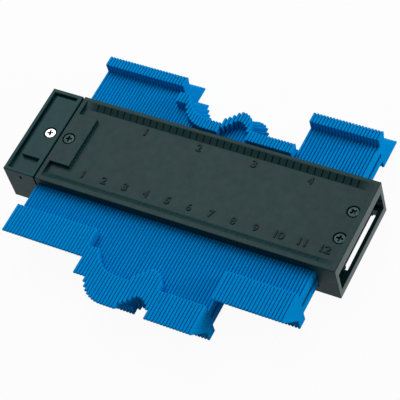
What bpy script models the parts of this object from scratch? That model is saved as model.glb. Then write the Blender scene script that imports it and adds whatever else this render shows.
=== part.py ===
"""Contour gauge: two body shells and an end cap round a flat guide bar, with a row of sliding blades.

+X runs along the body, +Y points to the rear and +Z points up. The origin is the centre of the
body's underside. Sizes below are in millimetres and are turned into metres once, by MM.
"""

from math import sqrt

import bmesh
import bpy

MM = 0.001

# Body
BODY_LEFT = -60.95
BODY_RIGHT = 76.3
BODY_HALF_WIDTH = 22.35
BODY_HEIGHT = 19.4
MID_HEIGHT = BODY_HEIGHT / 2
PLATE = 4.4
SPLIT_GAP = 0.1
EDGE_BEVEL = 0.2

# Hollow right end, and the clamp block inside it that hangs from the top shell's screws
BULKHEAD_LEFT = 67.4
BULKHEAD_RIGHT = 68.9
END_WALL = 2.1
END_FLOOR = 4.0
END_CEILING = 14.3
BLOCK_LEFT = 69.2
BLOCK_RIGHT = 73.8
BLOCK_TOP = 14.1
BLOCK_FRONT = -13.15
BLOCK_REAR = 15.9
BLOCK_BOTTOM = 6.0
BLOCK_HOLE_BOTTOM = 10.95
FRONT_LEG = 2.5
REAR_LEG = 0.8
LEG_BOTTOM = 4.3
WINDOW_LEFT = 69.8
WINDOW_RIGHT = 74.6
WINDOW_FRONT = -11.5
WINDOW_REAR = 18.3

# The tray in the top face, with a sloping scale along its front and rear sides, and its platform
TRAY_DEPTH = 1.95
TRAY_FLOOR = BODY_HEIGHT - TRAY_DEPTH
TRAY_LEFT = -59.0
TRAY_RIGHT = 73.7
TRAY_FRONT = -20.15
TRAY_REAR = 20.85
SCALE_RUN = 3.35
PLATFORM_RIGHT = -49.8
PLATFORM_FRONT = -12.35
PLATFORM_REAR = 13.35

# Tongues at the left end, which the cap slides over
TONGUE_LEFT = -71.0
TONGUE_RIGHT = -61.6
TONGUE_FRONT = -11.6
TONGUE_REAR = 17.3
TONGUE_TOP = 16.8
TONGUE_GAP = 0.3

# End cap
CAP_LEFT = -76.5
CAP_RIGHT = -61.55
CAP_REAR = 22.1
CAP_BEVEL = 0.25
MOAT_DEPTH = 1.9
MOAT_LEFT = -74.9
MOAT_RIGHT = -63.6
MOAT_FRONT = -20.75
MOAT_REAR = 20.3
STEP_LEFT = -72.5
STEP_FRONT = -13.15
STEP_REAR = 18.75
PINHOLE_X = (-69.2, -68.3)
PINHOLE_Z = (15.0, 16.8)
PINHOLE_DEPTH = 1.2

# Guide bar
GUIDE_LEFT = -69.5
GUIDE_RIGHT = 70.2
GUIDE_HALF_WIDTH = 9.0
GUIDE_THICKNESS = 1.5
GUIDE_GAP = 0.2

# Blades: half sizes of the point-symmetric outline, measured from its centre
BLADE_COUNT = 90
BLADE_PITCH = 1.427
BLADE_THICKNESS = 1.29
FIRST_BLADE = -60.55
RAIL_HALF_HEIGHT = 4.9
HEAD_HALF_HEIGHT = 9.3
HEAD_INNER = 38.4
LONG_TIP = 52.2
SHORT_TIP = 43.4
NOTCH = 42.6
NOTCH_HEIGHT = 4.3
TIP_BLUNT = 0.5
SLOT_HALF_LENGTH = 38.1
SLOT_HALF_HEIGHT = 0.95
CONTACT_INSET = 0.4

# The contour that the blades hold, as the offset of each blade's centre along Y
STEP_START = 27
COVE_START = 31
VALLEY = 39
BEAD_CENTRE = 48.15
FOOT_START = 53
LAST_FLAT_START = 68
FLAT_OFFSET = 2.6
STEP_OFFSET = -5.3
LOW_OFFSET = -14.5
COVE_LENGTH = 9.0
COVE_HEIGHT = 12.7
RISE_LENGTH = 8.0
RISE_HEIGHT = 7.1
BEAD_RADIUS = 4.45
BEAD_HEIGHT = 8.0

# Screws
HEAD_RADIUS = 2.5
HEAD_HEIGHT = 1.3
HEAD_DOME = 0.4
SHANK_RADIUS = 1.1
SHANK_CLEARANCE = 0.3
HEAD_CLEARANCE = 0.3
CROSS_LENGTH = 2.9
CROSS_WIDTH = 0.7
CROSS_DEPTH = 0.9
SEAT_GAP = 0.3
TOP_SEAT = BODY_HEIGHT - HEAD_HEIGHT - SEAT_GAP
TRAY_SEAT = TRAY_FLOOR - HEAD_HEIGHT - SEAT_GAP
CAP_SCREW = (-66.0, 0.4)
PLATFORM_SCREW = (-56.75, 0.3)
FRONT_SCREW = (70.8, -6.3)
REAR_SCREW = (70.8, 6.9)


def clear_scene():
    for old in list(bpy.data.objects):
        bpy.data.objects.remove(old, do_unlink=True)


def new_collection(name, hidden=False):
    made = bpy.data.collections.new(name)
    made.hide_render = hidden
    bpy.context.scene.collection.children.link(made)
    return made


def new_material(name, colour, roughness, metallic=0.0):
    made = bpy.data.materials.new(name)
    made.use_nodes = True
    shader = made.node_tree.nodes["Principled BSDF"]
    shader.inputs["Base Color"].default_value = (*colour, 1.0)
    shader.inputs["Roughness"].default_value = roughness
    shader.inputs["Metallic"].default_value = metallic
    return made


def add_object(name, mesh, collection, location=(0.0, 0.0, 0.0)):
    made = bpy.data.objects.new(name, mesh)
    made.location = [value * MM for value in location]
    collection.objects.link(made)
    if collection.hide_render:
        made.hide_render = True
        made.display_type = "WIRE"
    return made


def add_box(name, x, y, z, collection):
    """A box between two values on each axis, with its origin at its centre."""
    mesh = bpy.data.meshes.new(name)
    shape = bmesh.new()
    bmesh.ops.create_cube(shape, size=1.0)
    size = [(high - low) * MM for low, high in (x, y, z)]
    bmesh.ops.scale(shape, vec=size, verts=shape.verts)
    shape.to_mesh(mesh)
    shape.free()
    centre = [(low + high) / 2 for low, high in (x, y, z)]
    return add_object(name, mesh, collection, centre)


def add_rod(name, radius, z, place, collection, segments=32):
    """An upright cylinder from z[0] to z[1] at place."""
    mesh = bpy.data.meshes.new(name)
    shape = bmesh.new()
    bmesh.ops.create_cone(
        shape,
        cap_ends=True,
        segments=segments,
        radius1=radius * MM,
        radius2=radius * MM,
        depth=(z[1] - z[0]) * MM,
    )
    shape.to_mesh(mesh)
    shape.free()
    return add_object(name, mesh, collection, (*place, (z[0] + z[1]) / 2))


def bevel(target, width):
    step = target.modifiers.new("edges", "BEVEL")
    step.width = width * MM
    step.segments = 1
    step.limit_method = "ANGLE"


def combine(target, other, operation):
    step = target.modifiers.new(other.name, "BOOLEAN")
    step.object = other
    step.operation = operation
    step.solver = "EXACT"


def cut_box(target, name, x, y, z):
    combine(target, add_box(name, x, y, z, cutters), "DIFFERENCE")


def join_box(target, name, x, y, z):
    combine(target, add_box(name, x, y, z, cutters), "UNION")


def cut_screw_hole(target, name, place, head_z, tip_z, seat=True):
    """A shank hole, and a wider seat for the head from head_z upward."""
    shank = add_rod(
        name + "_shank", SHANK_RADIUS + SHANK_CLEARANCE, (tip_z, head_z + 2), place, cutters, 24
    )
    combine(target, shank, "DIFFERENCE")
    if seat:
        head = add_rod(
            name + "_seat", HEAD_RADIUS + HEAD_CLEARANCE, (head_z, head_z + 5), place, cutters
        )
        combine(target, head, "DIFFERENCE")


def finish_solid(target, material, smooth_angle=0.6):
    target.data.materials.clear()
    target.data.materials.append(material)
    target.data.shade_smooth()
    target.data.set_sharp_from_angle(angle=smooth_angle)


def tray(name):
    """The cutter for the tray: it narrows downward, to slope the scales, and leaves out the platform."""
    pocket = add_box(
        name,
        (TRAY_LEFT, TRAY_RIGHT),
        (TRAY_FRONT, TRAY_REAR),
        (TRAY_FLOOR, BODY_HEIGHT + TRAY_DEPTH),
        cutters,
    )
    for corner in pocket.data.vertices:
        outward = SCALE_RUN * MM if corner.co.z > 0 else -SCALE_RUN * MM
        corner.co.y += outward if corner.co.y > 0 else -outward
    cut_box(
        pocket,
        "platform",
        (TRAY_LEFT - 1, PLATFORM_RIGHT),
        (PLATFORM_FRONT, PLATFORM_REAR),
        (TRAY_FLOOR - 1, BODY_HEIGHT + 5),
    )
    return pocket


def end_hollow(target, name):
    """The open right end: the space between the two end walls, inside the bulkhead."""
    half = BODY_HALF_WIDTH - END_WALL
    cut_box(
        target,
        name,
        (BULKHEAD_RIGHT, BODY_RIGHT + 3),
        (-half, half),
        (END_FLOOR, END_CEILING),
    )


def guide_channel(target, name):
    half_height = GUIDE_THICKNESS / 2 + GUIDE_GAP
    cut_box(
        target,
        name,
        (GUIDE_LEFT - GUIDE_GAP, GUIDE_RIGHT + GUIDE_GAP),
        (-GUIDE_HALF_WIDTH - GUIDE_GAP, GUIDE_HALF_WIDTH + GUIDE_GAP),
        (MID_HEIGHT - half_height, MID_HEIGHT + half_height),
    )


def shell_block(name, low, high):
    """A shell's plate as a bevelled block, from low to high."""
    block = add_box(
        name,
        (BODY_LEFT, BODY_RIGHT),
        (-BODY_HALF_WIDTH, BODY_HALF_WIDTH),
        (low, high),
        parts,
    )
    bevel(block, EDGE_BEVEL)
    return block


def clear_blade_space(target, name):
    """The space from front to rear that the blades' rails run in."""
    cut_box(
        target,
        name,
        (BODY_LEFT - 3, BULKHEAD_LEFT),
        (-BODY_HALF_WIDTH - 3, BODY_HALF_WIDTH + 3),
        (PLATE, BODY_HEIGHT - PLATE),
    )


def tongue(target, name, neck, block):
    """A half of the tongue: its neck runs under the blades' first rail, and its block fills the cap."""
    width = (TONGUE_FRONT, TONGUE_REAR)
    join_box(target, name + "_neck", (TONGUE_LEFT, BODY_LEFT + 4), width, neck)
    join_box(target, name, (TONGUE_LEFT, TONGUE_RIGHT), width, block)


def body_top_shell(material):
    split = MID_HEIGHT + SPLIT_GAP / 2
    plate = BODY_HEIGHT - PLATE
    top = shell_block("body_top_shell", split, BODY_HEIGHT)
    clear_blade_space(top, "top_blade_space")
    tongue(top, "top_tongue", (plate, TONGUE_TOP), (split, plate + 0.5))
    end_hollow(top, "top_end_hollow")
    guide_channel(top, "top_guide_channel")
    combine(top, tray("tray"), "DIFFERENCE")
    cut_screw_hole(top, "platform_hole", PLATFORM_SCREW, TOP_SEAT, plate + 0.8)
    cut_screw_hole(top, "front_hole", FRONT_SCREW, TRAY_SEAT, plate - 1)
    cut_screw_hole(top, "rear_hole", REAR_SCREW, TRAY_SEAT, plate - 1)
    cut_screw_hole(top, "cap_hole", CAP_SCREW, TONGUE_TOP, 11.9, seat=False)
    finish_solid(top, material)


def body_bottom_shell(material):
    split = MID_HEIGHT - SPLIT_GAP / 2
    bottom = shell_block("body_bottom_shell", 0.0, split)
    clear_blade_space(bottom, "bottom_blade_space")
    tongue(bottom, "bottom_tongue", (BODY_HEIGHT - TONGUE_TOP, PLATE), (PLATE - 0.5, split))
    end_hollow(bottom, "bottom_end_hollow")
    cut_box(
        bottom,
        "floor_window",
        (WINDOW_LEFT, WINDOW_RIGHT),
        (WINDOW_FRONT, WINDOW_REAR),
        (-1, PLATE + 1),
    )
    guide_channel(bottom, "bottom_guide_channel")
    finish_solid(bottom, material)


def clamp_block(material):
    """The block that holds the guide bar's right end, with a leg at each side and a see-through gap."""
    along = (BLOCK_LEFT, BLOCK_RIGHT)
    block = add_box(
        "clamp_block", along, (BLOCK_FRONT, BLOCK_REAR), (LEG_BOTTOM, BLOCK_TOP), parts
    )
    cut_box(
        block,
        "block_gap",
        (BLOCK_LEFT - 1, BLOCK_RIGHT + 1),
        (BLOCK_FRONT + FRONT_LEG, BLOCK_REAR - REAR_LEG),
        (LEG_BOTTOM - 1, BLOCK_BOTTOM),
    )
    guide_channel(block, "block_guide_channel")
    cut_screw_hole(block, "block_front_hole", FRONT_SCREW, BLOCK_TOP, BLOCK_HOLE_BOTTOM, seat=False)
    cut_screw_hole(block, "block_rear_hole", REAR_SCREW, BLOCK_TOP, BLOCK_HOLE_BOTTOM, seat=False)
    finish_solid(block, material)


def end_cap(material):
    """The cap, with a moat round the raised step that covers the tongue."""
    cap = add_box(
        "end_cap", (CAP_LEFT, CAP_RIGHT), (-BODY_HALF_WIDTH, CAP_REAR), (0, BODY_HEIGHT), parts
    )
    bevel(cap, CAP_BEVEL)
    cut_box(
        cap,
        "cap_hollow",
        (TONGUE_LEFT - TONGUE_GAP, CAP_RIGHT + 2),
        (TONGUE_FRONT - TONGUE_GAP, TONGUE_REAR + TONGUE_GAP),
        (BODY_HEIGHT - TONGUE_TOP - TONGUE_GAP, TONGUE_TOP + TONGUE_GAP),
    )
    moat = (BODY_HEIGHT - MOAT_DEPTH, BODY_HEIGHT + 2)
    cut_box(cap, "left_moat", (MOAT_LEFT, STEP_LEFT), (MOAT_FRONT, MOAT_REAR), moat)
    cut_box(cap, "front_moat", (STEP_LEFT - 0.5, MOAT_RIGHT), (MOAT_FRONT, STEP_FRONT), moat)
    cut_box(cap, "rear_moat", (STEP_LEFT - 0.5, MOAT_RIGHT), (STEP_REAR, MOAT_REAR), moat)
    pinhole_end = -BODY_HALF_WIDTH + PINHOLE_DEPTH
    cut_box(cap, "pinhole", PINHOLE_X, (-BODY_HALF_WIDTH - 1, pinhole_end), PINHOLE_Z)
    cut_screw_hole(cap, "cap_seat", CAP_SCREW, TOP_SEAT, 11.0)
    finish_solid(cap, material)


def guide_bar(material):
    bar = add_box(
        "guide_bar",
        (GUIDE_LEFT, GUIDE_RIGHT),
        (-GUIDE_HALF_WIDTH, GUIDE_HALF_WIDTH),
        (MID_HEIGHT - GUIDE_THICKNESS / 2, MID_HEIGHT + GUIDE_THICKNESS / 2),
        parts,
    )
    bevel(bar, 0.25)
    finish_solid(bar, material, 0.3)


def screw(name, place, seat_z, length, turn, material):
    """A turned screw with a low domed head and a cross recess. Its origin is on its seat."""
    profile = [
        (0.0, -length),
        (SHANK_RADIUS * 0.4, -length),
        (SHANK_RADIUS, -length + 1.0),
        (SHANK_RADIUS, 0.0),
        (HEAD_RADIUS, 0.0),
        (HEAD_RADIUS, HEAD_HEIGHT - HEAD_DOME - 0.3),
        (HEAD_RADIUS - 0.35, HEAD_HEIGHT - HEAD_DOME),
        (HEAD_RADIUS * 0.5, HEAD_HEIGHT - 0.1),
        (0.0, HEAD_HEIGHT),
    ]
    mesh = bpy.data.meshes.new(name)
    points = [(radius * MM, 0.0, height * MM) for radius, height in profile]
    edges = [(index, index + 1) for index in range(len(points) - 1)]
    mesh.from_pydata(points, edges, [])
    turned = add_object(name, mesh, parts, (*place, seat_z + SEAT_GAP))
    turned.rotation_euler.z = turn
    lathe = turned.modifiers.new("lathe", "SCREW")
    lathe.steps = 24
    lathe.render_steps = 24
    lathe.use_merge_vertices = True
    lathe.merge_threshold = 0.00001
    lathe.use_normal_calculate = True
    along = (-CROSS_LENGTH / 2, CROSS_LENGTH / 2)
    across = (-CROSS_WIDTH / 2, CROSS_WIDTH / 2)
    depth = (HEAD_HEIGHT - CROSS_DEPTH, HEAD_HEIGHT + 1)
    for number, (x, y) in enumerate(((along, across), (across, along))):
        arm = add_box(f"{name}_cross_{number}", x, y, depth, cutters)
        arm.parent = turned
        combine(turned, arm, "DIFFERENCE")
    finish_solid(turned, material)


def contour(index):
    """The Y offset of one blade's centre: flat, step, cove, bead, low flat and flat."""
    if index < STEP_START or index >= LAST_FLAT_START:
        return FLAT_OFFSET
    if index < COVE_START:
        return STEP_OFFSET
    if index >= FOOT_START:
        return LOW_OFFSET
    if index < VALLEY:
        part = (VALLEY - index) / COVE_LENGTH
        return LOW_OFFSET + COVE_HEIGHT * (1 - sqrt(1 - part * part))
    rise = RISE_HEIGHT * ((index - VALLEY) / RISE_LENGTH) ** 2
    bead_part = min(abs(index - BEAD_CENTRE) / BEAD_RADIUS, 1.0)
    bead = BEAD_HEIGHT * sqrt(1 - bead_part * bead_part)
    return LOW_OFFSET + (min(rise, bead) if index < BEAD_CENTRE else bead)


def blade_outline():
    """Half of the outline, from the lower rear inner corner to the upper rear one, then turned."""
    half = [
        (HEAD_INNER, -RAIL_HALF_HEIGHT),
        (HEAD_INNER, -HEAD_HALF_HEIGHT),
        (LONG_TIP - TIP_BLUNT, -HEAD_HALF_HEIGHT),
        (LONG_TIP, -HEAD_HALF_HEIGHT + TIP_BLUNT),
        (NOTCH, NOTCH_HEIGHT),
        (SHORT_TIP, HEAD_HALF_HEIGHT),
        (HEAD_INNER, HEAD_HALF_HEIGHT),
        (HEAD_INNER, RAIL_HALF_HEIGHT),
    ]
    return half + [(-y, -z) for y, z in half]


def blade_mesh():
    """One blade: a flat outline with a long slot, filled and extruded, lying in the YZ plane."""
    curve = bpy.data.curves.new("blade_curve", "CURVE")
    curve.dimensions = "2D"
    curve.fill_mode = "BOTH"
    curve.extrude = BLADE_THICKNESS / 2 * MM
    slot = [
        (-SLOT_HALF_LENGTH, -SLOT_HALF_HEIGHT),
        (SLOT_HALF_LENGTH, -SLOT_HALF_HEIGHT),
        (SLOT_HALF_LENGTH, SLOT_HALF_HEIGHT),
        (-SLOT_HALF_LENGTH, SLOT_HALF_HEIGHT),
    ]
    for outline in (blade_outline(), slot):
        spline = curve.splines.new("POLY")
        spline.points.add(len(outline) - 1)
        spline.use_cyclic_u = True
        for point, (y, z) in zip(spline.points, outline):
            point.co = (y * MM, z * MM, 0.0, 1.0)
    helper = bpy.data.objects.new("blade_curve", curve)
    cutters.objects.link(helper)
    mesh = bpy.data.meshes.new_from_object(helper)
    bpy.data.objects.remove(helper, do_unlink=True)
    shape = bmesh.new()
    shape.from_mesh(mesh)
    bmesh.ops.remove_doubles(shape, verts=shape.verts, dist=0.000001)
    for corner in shape.verts:
        y, z, x = corner.co
        corner.co = (x, y, z)
    bmesh.ops.recalc_face_normals(shape, faces=shape.faces)
    shape.to_mesh(mesh)
    shape.free()
    return mesh


def pair_mesh(blade, shift):
    """Two neighbouring blades, the second shifted along Y, one where the flats of their rails touch."""
    base = add_object("pair_first", blade, cutters, (-BLADE_PITCH / 2, -shift / 2, 0))
    second = add_object("pair_second", blade, cutters, (BLADE_PITCH / 2, shift / 2, 0))
    others = [second]
    depth = BLADE_PITCH / 2 - BLADE_THICKNESS / 4
    length = HEAD_INNER - abs(shift) / 2 - CONTACT_INSET
    low = SLOT_HALF_HEIGHT + CONTACT_INSET
    high = RAIL_HALF_HEIGHT - CONTACT_INSET
    for side, span in (("upper", (low, high)), ("lower", (-high, -low))):
        name = f"pair_{side}_flat"
        others.append(add_box(name, (-depth, depth), (-length, length), span, cutters))
    for other in others:
        combine(base, other, "UNION")
    bpy.context.view_layer.update()
    graph = bpy.context.evaluated_depsgraph_get()
    mesh = bpy.data.meshes.new_from_object(base.evaluated_get(graph))
    middle = BLADE_PITCH / 2 * MM
    for corner in mesh.vertices:
        corner.co.x -= middle
        corner.co.y -= shift / 2 * MM
    for other in (*others, base):
        bpy.data.objects.remove(other, do_unlink=True)
    return mesh


def blade_pairs(material):
    """Each neighbouring pair of blades as one sliding piece, at its place in the contour."""
    blade = blade_mesh()
    meshes = {}
    for index in range(0, BLADE_COUNT, 2):
        first = contour(index)
        second = contour(index + 1)
        shift = round(second - first, 3)
        if shift not in meshes:
            meshes[shift] = pair_mesh(blade, shift)
            meshes[shift].materials.clear()
            meshes[shift].materials.append(material)
            meshes[shift].shade_flat()
        middle = FIRST_BLADE + (index + 0.5) * BLADE_PITCH
        place = (middle, (first + second) / 2, MID_HEIGHT)
        add_object(f"blade_pair_{index // 2 + 1:02d}", meshes[shift], parts, place)


clear_scene()
parts = new_collection("contour_gauge")
cutters = new_collection("cutters", hidden=True)

body_plastic = new_material("body_plastic", (0.035, 0.05, 0.053), 0.45)
cap_plastic = new_material("cap_plastic", (0.04, 0.055, 0.06), 0.45)
guide_plastic = new_material("guide_plastic", (0.02, 0.025, 0.028), 0.5)
blade_plastic = new_material("blade_plastic", (0.0, 0.2, 0.62), 0.35)
bright_steel = new_material("bright_steel", (0.75, 0.75, 0.74), 0.28, 1.0)
black_steel = new_material("black_steel", (0.03, 0.035, 0.038), 0.4, 0.6)

body_top_shell(body_plastic)
body_bottom_shell(body_plastic)
clamp_block(body_plastic)
end_cap(cap_plastic)
guide_bar(guide_plastic)
screw("cap_screw", CAP_SCREW, TOP_SEAT, 5.8, 0.75, bright_steel)
screw("platform_screw", PLATFORM_SCREW, TOP_SEAT, 1.9, 0.2, black_steel)
screw("front_screw", FRONT_SCREW, TRAY_SEAT, 4.9, 0.0, black_steel)
screw("rear_screw", REAR_SCREW, TRAY_SEAT, 4.9, 0.75, black_steel)
blade_pairs(blade_plastic)
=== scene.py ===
"""Looks of the contour gauge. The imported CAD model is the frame, and every visible piece is finished
round it: rounded mouldings, engraved scales with raised figures, threaded screws and single blades.

Sizes are in millimetres and are turned into metres by MM. +X runs along the body, +Y points to the
rear and +Z up.
"""

from math import cos, pi, radians, sin

import bmesh
import bpy
from mathutils import Matrix, Vector


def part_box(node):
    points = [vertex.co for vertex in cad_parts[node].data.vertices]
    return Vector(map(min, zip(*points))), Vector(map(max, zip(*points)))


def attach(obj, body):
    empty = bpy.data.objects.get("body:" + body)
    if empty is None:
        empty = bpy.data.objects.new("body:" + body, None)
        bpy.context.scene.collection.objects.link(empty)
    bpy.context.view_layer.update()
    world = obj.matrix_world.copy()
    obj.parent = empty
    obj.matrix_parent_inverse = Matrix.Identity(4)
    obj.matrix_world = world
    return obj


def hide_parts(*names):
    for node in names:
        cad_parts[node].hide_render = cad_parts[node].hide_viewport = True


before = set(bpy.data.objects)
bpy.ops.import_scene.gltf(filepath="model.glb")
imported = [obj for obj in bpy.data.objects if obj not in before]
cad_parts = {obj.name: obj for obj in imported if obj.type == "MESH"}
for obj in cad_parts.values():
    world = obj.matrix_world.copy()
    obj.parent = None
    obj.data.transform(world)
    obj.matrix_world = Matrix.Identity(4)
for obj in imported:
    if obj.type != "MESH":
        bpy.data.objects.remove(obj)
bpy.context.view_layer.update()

MM = 0.001
ROOT = "body"
WHITE = (1.0, 1.0, 1.0, 1.0)
BLACK = (0.0, 0.0, 0.0, 1.0)

# Camera, at the photograph's viewing angle
CAMERA_AIM = (5.97, -3.97, 9.70)
CAMERA_DISTANCE = 717.42
CAMERA_AZIMUTH = 41.96
CAMERA_ELEVATION = 52.956
CAMERA_ROLL = -18.59
FOCAL_LENGTH = 158.70
SENSOR_WIDTH = 36.0
CLIP_START = 10.0

# Floor and light
FLOOR_GAP = 0.1
FLOOR_SIZE = 4000.0
FLOOR_TONE = 0.6
FLOOR_ROUGHNESS = 0.9
FLOOR_WHITE_SHARE = 0.95
WORLD_STRENGTH = 0.3
LAMP_DISTANCE = 1000.0

# Modelling: how near two points are joined, and which edges are rounded
WELD = 0.001
FLAT_ANGLE = radians(0.5)
BEVEL_ANGLE = radians(35)
BEVEL_SEGMENTS = 2
EDGE_REACH = 0.2
BODY_EDGE = 0.16
BLOCK_EDGE = 0.2
GUIDE_EDGE = 0.1

# Body, read from the frame where it can be. BODY_FACES holds the axis and place of its outer faces.
BODY_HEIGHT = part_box("body_top_shell")[1].z / MM
BODY_FACES = ((0, -60.95), (0, 76.3), (1, -22.35), (1, 22.35))
TRAY_FLOOR = BODY_HEIGHT - 1.95
TRAY_FRONT = -20.15
TRAY_REAR = 20.85
SCALE_RUN = 3.35
SCALE_ANGLE = radians(30.2)
SEAM_Z = BODY_HEIGHT / 2
SEAM_GAP = 0.01
SEAM_REACH = 0.1
FACE_REACH = 0.25

# Scales. A tick runs between two shares of the slope's length.
INCH_ZERO = -53.05
INCH_EIGHTH = 3.175
INCH_TICKS = 39
INCH_TICK_WIDTH = 0.6
INCH_TICK_DEPTH = 0.85
INCH_TICK_FOOT = 0.12
INCH_TICK_TOP = 0.86
CM_ZERO = -52.75
CM_TICKS = 121
CM_TICK_WIDTH = 0.34
CM_TICK_DEPTH = 0.4
CM_TICK_FOOT = 0.14
CENTIMETRE_TOP = 0.92
HALF_TOP = 0.8
MILLIMETRE_TOP = 0.62

# Figures. The font gives the shapes, and the shares give a number's width.
LAST_INCH = 4
LAST_CENTIMETRE = 12
FIGURE_HEIGHT = 3.5
FIGURE_WIDTH = 2.3
FIGURE_SHARES = {"1": 0.42, "11": 0.82}
TWO_FIGURES_SHARE = 1.9
FIGURE_RELIEF = 0.36
INCH_FIGURE_Y = 14.95
CM_FIGURE_Y = -12.9
CM_PAIR_SHIFT = 0.6

# Blades
BLADE_THICKNESS = 1.29
RAIL_HALF_HEIGHT = 4.9
HEAD_HALF_HEIGHT = 9.3
HEAD_INNER = 38.3
LONG_TIP = 52.2
SHORT_TIP = 43.4
NOTCH = 42.6
NOTCH_HEIGHT = 4.3
TIP_BLUNT = 0.5
SLOT_HALF_LENGTH = 38.1
SLOT_HALF_HEIGHT = 0.95
BLADE_EDGE = 0.58
HEAD_EDGE_SHARE = 0.74
PAIR_COUNT = 45

# Screws. The length and width of the cross are shares at its bottom and at its top.
TURNED_SIDES = 48
HEAD_RADIUS = 2.5
HEAD_HEIGHT = 1.3
HEAD_FOOT = 0.08
HEAD_SHOULDER = 0.45
HEAD_CROWN = 0.12
SHOULDER_STEPS = 6
SHANK_RADIUS = 1.1
CORE_RADIUS = SHANK_RADIUS - 0.1
POINT_RADIUS = 0.25
POINT_LENGTH = 1.0
NECK = 0.2
THREAD_HEIGHT = 0.22
THREAD_PITCH = 0.8
THREAD_SIDES = 20
THREAD_START = 0.7
THREAD_FREE = 1.1
CROSS_LENGTH = 3.1
CROSS_LENGTH_SHARES = (0.5, 1.12)
CROSS_WIDTH = 0.95
CROSS_WIDTH_SHARES = (0.7, 1.1)
CROSS_DEPTH = 1.05
CROSS_PAST_HEAD = 0.25

# Plastic. Noise scales are features to a millimetre, and GRAIN_HEIGHT is the bumps' height.
PLASTIC_IOR = 1.5
SEED_SPAN = 40.0
MOTTLE_SCALE = 0.06
GRAIN_SCALE = 3.2
GRAIN_HEIGHT = 0.03
GRAIN_WEAR = 0.35
PATCH_SCALE = 0.35
SCUFF_SCALE = 2.4
SCUFF_TURN = (0.0, 0.0, 0.5)
SCUFF_STRETCH = (0.12, 1.0, 1.0)
SCUFF_WEAR = 0.18

# Steel. Painted shade in the cross recess: the head is dark below one depth under the crown and
# unshaded above the other.
RING_SCALE = 2.0
RING_STRENGTH = 0.12
RING_HEIGHT = 0.02
SPOT_SCALE = 1.2
SPOT_TONE = 0.6
RECESS_SHADED = 0.5
RECESS_UNSHADED = 0.2
RECESS_SHADE_TONE = 0.05


def shader_node(tree, kind, inputs=None, **settings):
    """Adds a node. An input that is a socket is linked, and any other value is set."""
    made = tree.nodes.new(kind)
    for key, value in settings.items():
        setattr(made, key, value)
    for key, value in (inputs or {}).items():
        if isinstance(value, bpy.types.NodeSocket):
            tree.links.new(value, made.inputs[key])
        else:
            made.inputs[key].default_value = value
    return made


def empty_material(name):
    material = bpy.data.materials.new(name)
    material.use_nodes = True
    tree = material.node_tree
    return material, tree, tree.nodes["Principled BSDF"]


def maths(tree, operation, first, second):
    inputs = {0: first, 1: second}
    return shader_node(tree, "ShaderNodeMath", inputs, operation=operation).outputs[0]


def noise(tree, place, scale, detail, random_w=None):
    """Noise with so many features to a millimetre, different in each piece if random_w is given."""
    inputs = {"Vector": place, "Scale": scale / MM, "Detail": detail}
    settings = {}
    if random_w is not None:
        inputs["W"] = random_w
        settings["noise_dimensions"] = "4D"
    return shader_node(tree, "ShaderNodeTexNoise", inputs, **settings).outputs["Fac"]


def spread(tree, value, low, high, new_low=0.0, new_high=1.0):
    """The value, moved from one range to another and held within it."""
    inputs = {
        "Value": value,
        "From Min": low,
        "From Max": high,
        "To Min": new_low,
        "To Max": new_high,
    }
    return shader_node(tree, "ShaderNodeMapRange", inputs).outputs["Result"]


def mix_colour(tree, factor, first, second):
    """Two colours mixed. A Mix node has its colours in sockets 6 and 7 and their mix in 2."""
    inputs = {0: factor, 6: first, 7: second}
    return shader_node(tree, "ShaderNodeMix", inputs, data_type="RGBA").outputs[2]


def add_bumps(tree, shader, height, strength, distance):
    inputs = {"Height": height, "Strength": strength, "Distance": distance * MM}
    bump = shader_node(tree, "ShaderNodeBump", inputs)
    tree.links.new(bump.outputs["Normal"], shader.inputs["Normal"])


def plastic(name, colour, worn, roughness, grain, specular, mottling, end_roughness=None):
    """Moulded plastic: mottled colour, fine spark-eroded grain, faint scuffs and uneven gloss.

    Faces toward +X, which the mould leaves smooth, get end_roughness where it is given.
    """
    material, tree, shader = empty_material(name)
    place = shader_node(tree, "ShaderNodeTexCoord").outputs["Object"]
    random = shader_node(tree, "ShaderNodeObjectInfo").outputs["Random"]
    seed = maths(tree, "MULTIPLY", random, SEED_SPAN)
    mottle = noise(tree, place, MOTTLE_SCALE, 3.0, seed)
    fine = noise(tree, place, GRAIN_SCALE, 3.0, seed)
    patch = noise(tree, place, PATCH_SCALE, 2.0, seed)
    mapping = {"Vector": place, "Rotation": SCUFF_TURN, "Scale": SCUFF_STRETCH}
    stretched = shader_node(tree, "ShaderNodeMapping", mapping).outputs["Vector"]
    scuff = spread(tree, noise(tree, stretched, SCUFF_SCALE, 4.0), 0.66, 0.78)

    worn = (*worn, 1.0)
    dark = (*[value * (1 - mottling) for value in colour], 1.0)
    light = (*[value * (1 + mottling) for value in colour], 1.0)
    tone = mix_colour(tree, spread(tree, mottle, 0.3, 0.7), dark, light)
    tone = mix_colour(tree, spread(tree, fine, 0.35, 0.75, 0.0, GRAIN_WEAR), tone, worn)
    tone = mix_colour(tree, maths(tree, "MULTIPLY", scuff, SCUFF_WEAR), tone, worn)
    tree.links.new(tone, shader.inputs["Base Color"])

    gloss = spread(tree, patch, 0.3, 0.7, roughness - 0.02, roughness + 0.03)
    if end_roughness:
        normal = shader_node(tree, "ShaderNodeTexCoord").outputs["Normal"]
        toward_x = shader_node(tree, "ShaderNodeSeparateXYZ", {0: normal}).outputs["X"]
        end_face = spread(tree, toward_x, 0.75, 0.95)
        inputs = {"Factor": end_face, "A": gloss, "B": end_roughness}
        smoother = shader_node(tree, "ShaderNodeMix", inputs, data_type="FLOAT")
        gloss = smoother.outputs["Result"]
    tree.links.new(gloss, shader.inputs["Roughness"])
    shader.inputs["IOR"].default_value = PLASTIC_IOR
    shader.inputs["Specular IOR Level"].default_value = specular
    add_bumps(tree, shader, fine, grain, GRAIN_HEIGHT)
    return material


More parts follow.
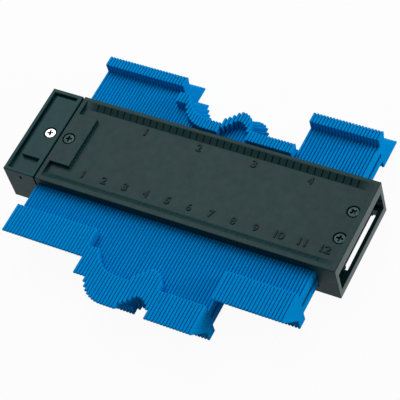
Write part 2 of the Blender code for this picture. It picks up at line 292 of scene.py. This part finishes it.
def steel(name, colour, roughness, metallic):
    """Turned and plated steel: tool marks round the axis, dull spots, and painted shade in the recess.

    The object's origin is under the head, so the shank lies below zero and is kept free of the painted
    shade.
    """
    material, tree, shader = empty_material(name)
    place = shader_node(tree, "ShaderNodeTexCoord").outputs["Object"]
    rings = shader_node(
        tree,
        "ShaderNodeTexWave",
        {"Vector": place, "Scale": RING_SCALE / MM, "Distortion": 1.5, "Detail": 2.0},
        wave_type="RINGS",
        rings_direction="Z",
    )
    spots = noise(tree, place, SPOT_SCALE, 4.0)
    dull = (*[value * SPOT_TONE for value in colour], 1.0)
    tone = mix_colour(tree, spread(tree, spots, 0.4, 0.7), (*colour, 1.0), dull)
    height = shader_node(tree, "ShaderNodeSeparateXYZ", {"Vector": place}).outputs["Z"]
    # Painted shade: the head is mixed toward black below a depth under its crown, which darkens the
    # cross recess.
    shaded_below = (HEAD_HEIGHT - RECESS_SHADED) * MM
    unshaded_above = (HEAD_HEIGHT - RECESS_UNSHADED) * MM
    crown = spread(tree, height, shaded_below, unshaded_above, RECESS_SHADE_TONE, 1.0)
    shank = spread(tree, height, -0.1 * MM, 0.1 * MM, 1.0, 0.0)
    tone = mix_colour(tree, maths(tree, "MAXIMUM", crown, shank), BLACK, tone)
    tree.links.new(tone, shader.inputs["Base Color"])
    shader.inputs["Metallic"].default_value = metallic
    gloss = spread(tree, spots, 0.3, 0.7, roughness - 0.06, roughness + 0.12)
    tree.links.new(gloss, shader.inputs["Roughness"])
    add_bumps(tree, shader, rings.outputs["Fac"], RING_STRENGTH, RING_HEIGHT)
    return material


def add_object(name, data):
    made = bpy.data.objects.new(name, data)
    bpy.context.scene.collection.objects.link(made)
    return made


def piece(name, mesh, material, location=(0.0, 0.0, 0.0), body=ROOT, replaces=()):
    """A visible piece in its place, riding on its body."""
    made = add_object(name, mesh)
    made.location = location
    mesh.materials.clear()
    mesh.materials.append(material)
    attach(made, body)
    if replaces:
        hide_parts(*replaces)
    return made


def mesh_from(shape, name):
    """The bmesh as a mesh. The bmesh itself is freed."""
    mesh = bpy.data.meshes.new(name)
    shape.to_mesh(mesh)
    shape.free()
    return mesh


def mesh_of(obj):
    """The object's mesh with its modifiers applied. The object itself is removed."""
    bpy.context.view_layer.update()
    graph = bpy.context.evaluated_depsgraph_get()
    mesh = bpy.data.meshes.new_from_object(obj.evaluated_get(graph))
    bpy.data.objects.remove(obj, do_unlink=True)
    return mesh


def lies_at(edge, height):
    return all(abs(point.co.z / MM - height) < EDGE_REACH for point in edge.verts)


def off_seam(edge):
    """Edges on the seam stay sharp, so that it is only a fine line."""
    return 0.0 if lies_at(edge, SEAM_Z) else 1.0


def rail_first(edge):
    """The rails' long edges are rounder than the heads'."""
    rail = lies_at(edge, RAIL_HALF_HEIGHT) or lies_at(edge, -RAIL_HALF_HEIGHT)
    return 1.0 if rail else HEAD_EDGE_SHARE


def round_edges(obj, width, share=None):
    """Rounds the edges over BEVEL_ANGLE, each by its share of the width."""
    shape = bmesh.new()
    shape.from_mesh(obj.data)
    weight = shape.edges.layers.float.new("bevel_weight_edge")
    for edge in shape.edges:
        if edge.is_manifold and edge.calc_face_angle() > BEVEL_ANGLE:
            edge[weight] = share(edge) if share else 1.0
    shape.to_mesh(obj.data)
    shape.free()
    step = obj.modifiers.new("edges", "BEVEL")
    step.width = width * MM
    step.segments = BEVEL_SEGMENTS
    step.limit_method = "WEIGHT"
    step.use_clamp_overlap = False


def carved(obj, cutters):
    """The object's mesh with its modifiers applied and the cutters, which are used up, cut away."""
    for cutter in cutters:
        step = obj.modifiers.new(cutter.name, "BOOLEAN")
        step.object = cutter
        step.operation = "DIFFERENCE"
        step.solver = "EXACT"
    mesh = mesh_of(obj)
    for cutter in cutters:
        bpy.data.objects.remove(cutter, do_unlink=True)
    return mesh


def smooth(mesh, angle=40.0):
    """Smooth shading over rounded edges, with large flat faces kept flat."""
    mesh.shade_smooth()
    mesh.set_sharp_from_angle(angle=radians(angle))
    form = add_object("smooth_form", mesh)
    step = form.modifiers.new("normals", "WEIGHTED_NORMAL")
    step.keep_sharp = True
    step.weight = 100
    return mesh_of(form)


def copied_node(name, seam_z=None):
    """A welded copy of a CAD node's mesh, with the triangles of each flat face joined.

    Points near seam_z are drawn up to it and their bevels out to the body's faces, so that only a
    fine line is left between two shells.
    """
    shape = bmesh.new()
    shape.from_mesh(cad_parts[name].data)
    bmesh.ops.remove_doubles(shape, verts=shape.verts, dist=WELD * MM)
    if seam_z is not None:
        for point in shape.verts:
            gap = point.co.z / MM - seam_z
            if abs(gap) < SEAM_REACH:
                point.co.z = (seam_z + (SEAM_GAP if gap > 0 else -SEAM_GAP)) * MM
                for axis, face in BODY_FACES:
                    if abs(point.co[axis] / MM - face) < FACE_REACH:
                        point.co[axis] = face * MM
    bmesh.ops.dissolve_limit(
        shape, angle_limit=FLAT_ANGLE, verts=shape.verts, edges=shape.edges
    )
    return mesh_from(shape, name + "_form")


def moulding(node, material, width=BODY_EDGE, cutters=(), seam_z=None):
    """A CAD node's shape with rounded edges and the cuts of its fine detail."""
    form = add_object(node + "_form", copied_node(node, seam_z))
    round_edges(form, width, off_seam if seam_z else None)
    mesh = carved(form, cutters)
    return piece(node + "_moulding", smooth(mesh), material, replaces=(node,))


def box_cutter(name, boxes):
    """One mesh of separate boxes, each given by its centre, its size and its turn about X."""
    shape = bmesh.new()
    for centre, size, turn in boxes:
        matrix = (
            Matrix.Translation(Vector(centre) * MM)
            @ Matrix.Rotation(turn, 4, "X")
            @ Matrix.Diagonal((*[value * MM for value in size], 1.0))
        )
        bmesh.ops.create_cube(shape, size=1.0, matrix=matrix)
    return add_object(name, mesh_from(shape, name))


def scale_point(side, share):
    """A point on a scale's slope: 0 at its foot on the tray's floor and 1 at its top, by the rim."""
    edge = TRAY_REAR if side > 0 else TRAY_FRONT
    y = edge - side * SCALE_RUN * (1 - share)
    z = TRAY_FLOOR + (BODY_HEIGHT - TRAY_FLOOR) * share
    return y, z


def tick(x, side, low, high, width, depth):
    """A groove across a slope, between two shares of its length."""
    (y0, z0), (y1, z1) = scale_point(side, low), scale_point(side, high)
    length = ((y1 - y0) ** 2 + (z1 - z0) ** 2) ** 0.5
    centre = (x, (y0 + y1) / 2, (z0 + z1) / 2)
    return centre, (width, length, 2 * depth), side * SCALE_ANGLE


def scale_cutters():
    """Eighths of an inch along the rear slope, and millimetres along the front one."""
    eighths = []
    for number in range(INCH_TICKS):
        x = INCH_ZERO + number * INCH_EIGHTH
        size = (INCH_TICK_WIDTH, INCH_TICK_DEPTH)
        eighths.append(tick(x, 1, INCH_TICK_FOOT, INCH_TICK_TOP, *size))
    millimetres = []
    for number in range(CM_TICKS):
        top = MILLIMETRE_TOP if number % 5 else HALF_TOP if number % 10 else CENTIMETRE_TOP
        x = CM_ZERO + number
        size = (CM_TICK_WIDTH, CM_TICK_DEPTH)
        millimetres.append(tick(x, -1, CM_TICK_FOOT, top, *size))
    return box_cutter("inch_ticks", eighths), box_cutter("millimetre_ticks", millimetres)


def figure_mesh(text):
    """A number as a raised figure with softened edges. Its lower half is sunk in the floor."""
    curve = bpy.data.curves.new("figure_" + text, "FONT")
    curve.body = text
    curve.align_x = "CENTER"
    curve.align_y = "CENTER"
    curve.extrude = 0.06
    curve.space_character = 0.82
    curve.bevel_depth = 0.02
    curve.bevel_resolution = 1
    curve.resolution_u = 4
    mesh = mesh_of(add_object("figure_form", curve))
    low = Vector(map(min, *[point.co for point in mesh.vertices]))
    high = Vector(map(max, *[point.co for point in mesh.vertices]))
    size = high - low
    middle = (low + high) / 2
    width = FIGURE_WIDTH * FIGURE_SHARES.get(text, 1.0)
    if len(text) > 1:
        width *= TWO_FIGURES_SHARE
    factors = (width / size.x, FIGURE_HEIGHT / size.y, 2 * FIGURE_RELIEF / size.z)
    for point in mesh.vertices:
        point.co = [
            (value - centre) * factor * MM
            for value, centre, factor in zip(point.co, middle, factors)
        ]
    return smooth(mesh, 50.0)


def add_figures(material):
    for inch in range(1, LAST_INCH + 1):
        x = INCH_ZERO + inch * 8 * INCH_EIGHTH
        place = (x * MM, INCH_FIGURE_Y * MM, TRAY_FLOOR * MM)
        piece(f"inch_figure_{inch}", figure_mesh(str(inch)), material, place)
    for centimetre in range(1, LAST_CENTIMETRE + 1):
        x = CM_ZERO + centimetre * 10 + (CM_PAIR_SHIFT if centimetre > 9 else 0)
        place = (x * MM, CM_FIGURE_Y * MM, TRAY_FLOOR * MM)
        name = f"centimetre_figure_{centimetre}"
        piece(name, figure_mesh(str(centimetre)), material, place)


def lathe(profile):
    """A turned solid from (radius, height) points, which start and end on the axis."""
    shape = bmesh.new()
    previous = None
    for radius, height in profile:
        point = shape.verts.new((radius * MM, 0.0, height * MM))
        if previous:
            shape.edges.new((previous, point))
        previous = point
    bmesh.ops.spin(
        shape,
        geom=[*shape.verts, *shape.edges],
        cent=(0, 0, 0),
        axis=(0, 0, 1),
        angle=2 * pi,
        steps=TURNED_SIDES,
        use_merge=True,
    )
    bmesh.ops.remove_doubles(shape, verts=shape.verts, dist=WELD * MM)
    bmesh.ops.recalc_face_normals(shape, faces=shape.faces)
    return mesh_from(shape, "lathe")


def head_profile():
    """A pan head's outline: a short straight side, a rounded shoulder and a low crown."""
    inner = HEAD_RADIUS - HEAD_SHOULDER
    side = HEAD_HEIGHT - HEAD_SHOULDER - HEAD_CROWN
    points = [(SHANK_RADIUS, 0.0), (HEAD_RADIUS - HEAD_FOOT, 0.0), (HEAD_RADIUS, HEAD_FOOT)]
    for number in range(SHOULDER_STEPS + 1):
        angle = number / SHOULDER_STEPS * pi / 2
        radius = inner + HEAD_SHOULDER * cos(angle)
        points.append((radius, side + HEAD_SHOULDER * sin(angle)))
    points.append((inner * 0.5, HEAD_HEIGHT - 0.03))
    points.append((0.0, HEAD_HEIGHT))
    return points


def thread(length):
    """A helical ridge round the shank, from just under the head to just above the point."""
    half = THREAD_PITCH * 0.3
    shape = bmesh.new()
    previous = None
    count = int((length - THREAD_FREE) / THREAD_PITCH * THREAD_SIDES)
    for number in range(count + 1):
        angle = 2 * pi * number / THREAD_SIDES
        middle = -length + THREAD_START + THREAD_PITCH * number / THREAD_SIDES
        fade = min(1.0, number / THREAD_SIDES * 2, (count - number) / THREAD_SIDES * 2)
        ridge = (
            (CORE_RADIUS, -half),
            (SHANK_RADIUS + THREAD_HEIGHT * fade, 0.0),
            (CORE_RADIUS, half),
        )
        ring = []
        for radius, shift in ridge:
            spot = (radius * cos(angle), radius * sin(angle), middle + shift)
            ring.append(shape.verts.new([value * MM for value in spot]))
        if previous:
            for corner in range(3):
                after = (corner + 1) % 3
                shape.faces.new((previous[corner], previous[after], ring[after], ring[corner]))
        else:
            shape.faces.new(ring)
        previous = ring
    shape.faces.new(reversed(previous))
    bmesh.ops.recalc_face_normals(shape, faces=shape.faces)
    return mesh_from(shape, "thread")


def cross_arm(turn):
    """One arm of a screwdriver recess: a wedge that narrows downward."""
    shape = bmesh.new()
    for corner in bmesh.ops.create_cube(shape, size=1.0)["verts"]:
        top = corner.co.z >= 0
        corner.co.x *= CROSS_LENGTH * CROSS_LENGTH_SHARES[top] * MM
        corner.co.y *= CROSS_WIDTH * CROSS_WIDTH_SHARES[top] * MM
        corner.co.z = (HEAD_HEIGHT + (CROSS_PAST_HEAD if top else -CROSS_DEPTH)) * MM
    arm = add_object("cross_arm", mesh_from(shape, "cross_arm"))
    arm.rotation_euler.z = turn
    return arm


def add_screw(node, turn, material):
    """A screw with a crossed pan head and a threaded, pointed shank, in its CAD node's place."""
    low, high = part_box(node)
    seat = high.z / MM - HEAD_HEIGHT
    length = seat - low.z / MM
    shank = [
        (0.0, -length),
        (POINT_RADIUS, -length),
        (CORE_RADIUS, -length + POINT_LENGTH),
        (CORE_RADIUS, -NECK),
    ]
    blank = add_object("screw_form", lathe([*shank, *head_profile()]))
    mesh = carved(blank, [cross_arm(0.0), cross_arm(pi / 2)])
    shape = bmesh.new()
    shape.from_mesh(mesh)
    shape.from_mesh(thread(length))
    shape.to_mesh(mesh)
    shape.free()
    place = ((low.x + high.x) / 2, (low.y + high.y) / 2, seat * MM)
    made = piece(node + "_turned", smooth(mesh), material, place, replaces=(node,))
    made.rotation_euler.z = turn


def blade_outline():
    """The outline in Y and Z: half of it, and then the same half turned about the centre."""
    half = [
        (HEAD_INNER, -RAIL_HALF_HEIGHT),
        (HEAD_INNER, -HEAD_HALF_HEIGHT),
        (LONG_TIP - TIP_BLUNT, -HEAD_HALF_HEIGHT),
        (LONG_TIP, -HEAD_HALF_HEIGHT + TIP_BLUNT),
        (NOTCH, NOTCH_HEIGHT),
        (SHORT_TIP, HEAD_HALF_HEIGHT),
        (HEAD_INNER, HEAD_HALF_HEIGHT),
        (HEAD_INNER, RAIL_HALF_HEIGHT),
    ]
    return half + [(-y, -z) for y, z in half]


def blade_mesh():
    """One blade: its outline with the long slot, filled, extruded and rounded along its edges."""
    curve = bpy.data.curves.new("blade_curve", "CURVE")
    curve.dimensions = "2D"
    curve.fill_mode = "BOTH"
    curve.extrude = BLADE_THICKNESS / 2 * MM
    slot = [
        (y * SLOT_HALF_LENGTH, z * SLOT_HALF_HEIGHT)
        for y, z in ((-1, -1), (1, -1), (1, 1), (-1, 1))
    ]
    for outline in (blade_outline(), slot):
        spline = curve.splines.new("POLY")
        spline.points.add(len(outline) - 1)
        spline.use_cyclic_u = True
        for point, (y, z) in zip(spline.points, outline):
            point.co = (y * MM, z * MM, 0.0, 1.0)
    flat = mesh_of(add_object("blade_curve", curve))
    shape = bmesh.new()
    shape.from_mesh(flat)
    bmesh.ops.remove_doubles(shape, verts=shape.verts, dist=WELD * MM)
    for corner in shape.verts:
        y, z, x = corner.co
        corner.co = (x, y, z)
    bmesh.ops.recalc_face_normals(shape, faces=shape.faces)
    shape.to_mesh(flat)
    shape.free()
    form = add_object("blade_form", flat)
    round_edges(form, BLADE_EDGE, rail_first)
    return smooth(mesh_of(form))


def add_blades(material):
    """Both blades of each CAD pair, each at its own place along Y, read from the pair's mesh."""
    mesh = blade_mesh()
    for number in range(1, PAIR_COUNT + 1):
        node = f"blade_pair_{number:02d}"
        low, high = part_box(node)
        middle = (low.x + high.x) / 2
        height = (low.z + high.z) / 2
        for side in (-1, 1):
            reach = max(
                point.co.y
                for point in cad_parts[node].data.vertices
                if (point.co.x - middle) * side > 0
            )
            x = (low.x if side < 0 else high.x) - side * BLADE_THICKNESS / 2 * MM
            y = reach - LONG_TIP * MM
            index = 2 * number - (side < 0)
            made = piece(
                f"blade_{index:02d}", mesh, material, (x, y, height), node
            )
            if side < 0:
                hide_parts(node)


def add_floor():
    """A pale floor. It looks white to the camera and in reflections, and keeps the soft shadow.

    From below it is clear, so that the underside can be seen.
    """
    shape = bmesh.new()
    bmesh.ops.create_grid(shape, x_segments=1, y_segments=1, size=FLOOR_SIZE * MM)
    floor = add_object("floor", mesh_from(shape, "floor"))
    floor.location.z = -FLOOR_GAP * MM
    material, tree, shader = empty_material("floor")
    shader.inputs["Base Color"].default_value = (FLOOR_TONE, FLOOR_TONE, FLOOR_TONE, 1.0)
    shader.inputs["Roughness"].default_value = FLOOR_ROUGHNESS
    path = shader_node(tree, "ShaderNodeLightPath")
    seen = path.outputs["Is Camera Ray"]
    for name in ("Is Glossy Ray", "Is Transmission Ray"):
        seen = maths(tree, "MAXIMUM", seen, path.outputs[name])
    share = maths(tree, "MULTIPLY", seen, FLOOR_WHITE_SHARE)
    white = shader_node(tree, "ShaderNodeEmission", {"Color": WHITE, "Strength": 1.0})
    clear = shader_node(tree, "ShaderNodeBsdfTransparent")
    below = shader_node(tree, "ShaderNodeNewGeometry").outputs["Backfacing"]
    surface = shader.outputs[0]
    for factor, other in ((share, white), (below, clear)):
        inputs = {0: factor, 1: surface, 2: other.outputs[0]}
        surface = shader_node(tree, "ShaderNodeMixShader", inputs).outputs[0]
    tree.links.new(surface, tree.nodes["Material Output"].inputs["Surface"])
    floor.data.materials.append(material)


def add_world():
    world = bpy.data.worlds.new("studio")
    bpy.context.scene.world = world
    world.use_nodes = True
    background = world.node_tree.nodes["Background"]
    background.inputs["Color"].default_value = WHITE
    background.inputs["Strength"].default_value = WORLD_STRENGTH


def add_lamp(name, direction, size, power):
    """A square soft box that faces the origin from a direction. Its size is in metres."""
    lamp = bpy.data.lights.new(name, "AREA")
    lamp.shape = "SQUARE"
    lamp.size = size
    lamp.energy = power
    made = add_object(name, lamp)
    away = Vector(direction).normalized()
    made.location = away * (LAMP_DISTANCE * MM)
    made.rotation_mode = "QUATERNION"
    made.rotation_quaternion = (-away).to_track_quat("-Z", "Y")


def add_camera():
    camera = add_object("camera", bpy.data.cameras.new("camera"))
    camera.data.lens = FOCAL_LENGTH
    camera.data.sensor_width = SENSOR_WIDTH
    camera.data.clip_start = CLIP_START * MM
    camera.matrix_world = (
        Matrix.Translation(Vector(CAMERA_AIM) * MM)
        @ Matrix.Rotation(radians(CAMERA_AZIMUTH), 4, "Z")
        @ Matrix.Rotation(radians(90 - CAMERA_ELEVATION), 4, "X")
        @ Matrix.Rotation(radians(CAMERA_ROLL), 4, "Z")
        @ Matrix.Translation((0.0, 0.0, CAMERA_DISTANCE * MM))
    )
    bpy.context.scene.camera = camera


body_plastic = plastic(
    "body_plastic_finish",
    colour=(0.0, 0.023, 0.025),
    worn=(0.002, 0.037, 0.039),
    roughness=0.55,
    grain=0.4,
    specular=0.22,
    mottling=0.15,
    end_roughness=0.25,
)
# Painted shade: the raised figures get a darker colour than the body, standing in for the shade along
# their strokes.
painted_shade_figures = plastic(
    "figures_painted_shade",
    colour=(0.0, 0.012, 0.014),
    worn=(0.0, 0.020, 0.022),
    roughness=0.5,
    grain=0.2,
    specular=0.15,
    mottling=0.1,
)
cap_plastic = plastic(
    "cap_plastic_finish",
    colour=(0.0, 0.034, 0.040),
    worn=(0.002, 0.054, 0.063),
    roughness=0.46,
    grain=0.4,
    specular=0.14,
    mottling=0.15,
)
guide_plastic = plastic(
    "guide_plastic_finish",
    colour=(0.008, 0.014, 0.016),
    worn=(0.02, 0.03, 0.034),
    roughness=0.45,
    grain=0.3,
    specular=0.5,
    mottling=0.15,
)
blade_plastic = plastic(
    "blade_plastic_finish",
    colour=(0.0, 0.228, 0.585),
    worn=(0.0, 0.255, 0.62),
    roughness=0.5,
    grain=0.2,
    specular=0.0,
    mottling=0.05,
)
bright_steel = steel(
    "bright_steel_finish", colour=(0.78, 0.77, 0.74), roughness=0.26, metallic=1.0
)
black_steel = steel(
    "black_steel_finish", colour=(0.008, 0.040, 0.042), roughness=0.42, metallic=0.5
)

moulding("body_top_shell", body_plastic, cutters=scale_cutters(), seam_z=SEAM_Z)
moulding("body_bottom_shell", body_plastic, seam_z=SEAM_Z)
moulding("clamp_block", body_plastic, BLOCK_EDGE)
moulding("end_cap", cap_plastic, BLOCK_EDGE)
moulding("guide_bar", guide_plastic, GUIDE_EDGE)
add_figures(painted_shade_figures)
add_screw("cap_screw", 0.35, bright_steel)
add_screw("platform_screw", 0.2, black_steel)
add_screw("front_screw", 0.0, black_steel)
add_screw("rear_screw", 0.75, black_steel)
add_blades(blade_plastic)

add_floor()
add_world()
add_lamp("key", direction=(-0.35, 0.42, 0.84), size=0.75, power=7.8)
add_lamp("side", direction=(1.0, 0.4, 0.12), size=0.4, power=7.0)
add_camera()
bpy.context.scene.view_settings.view_transform = "Standard"
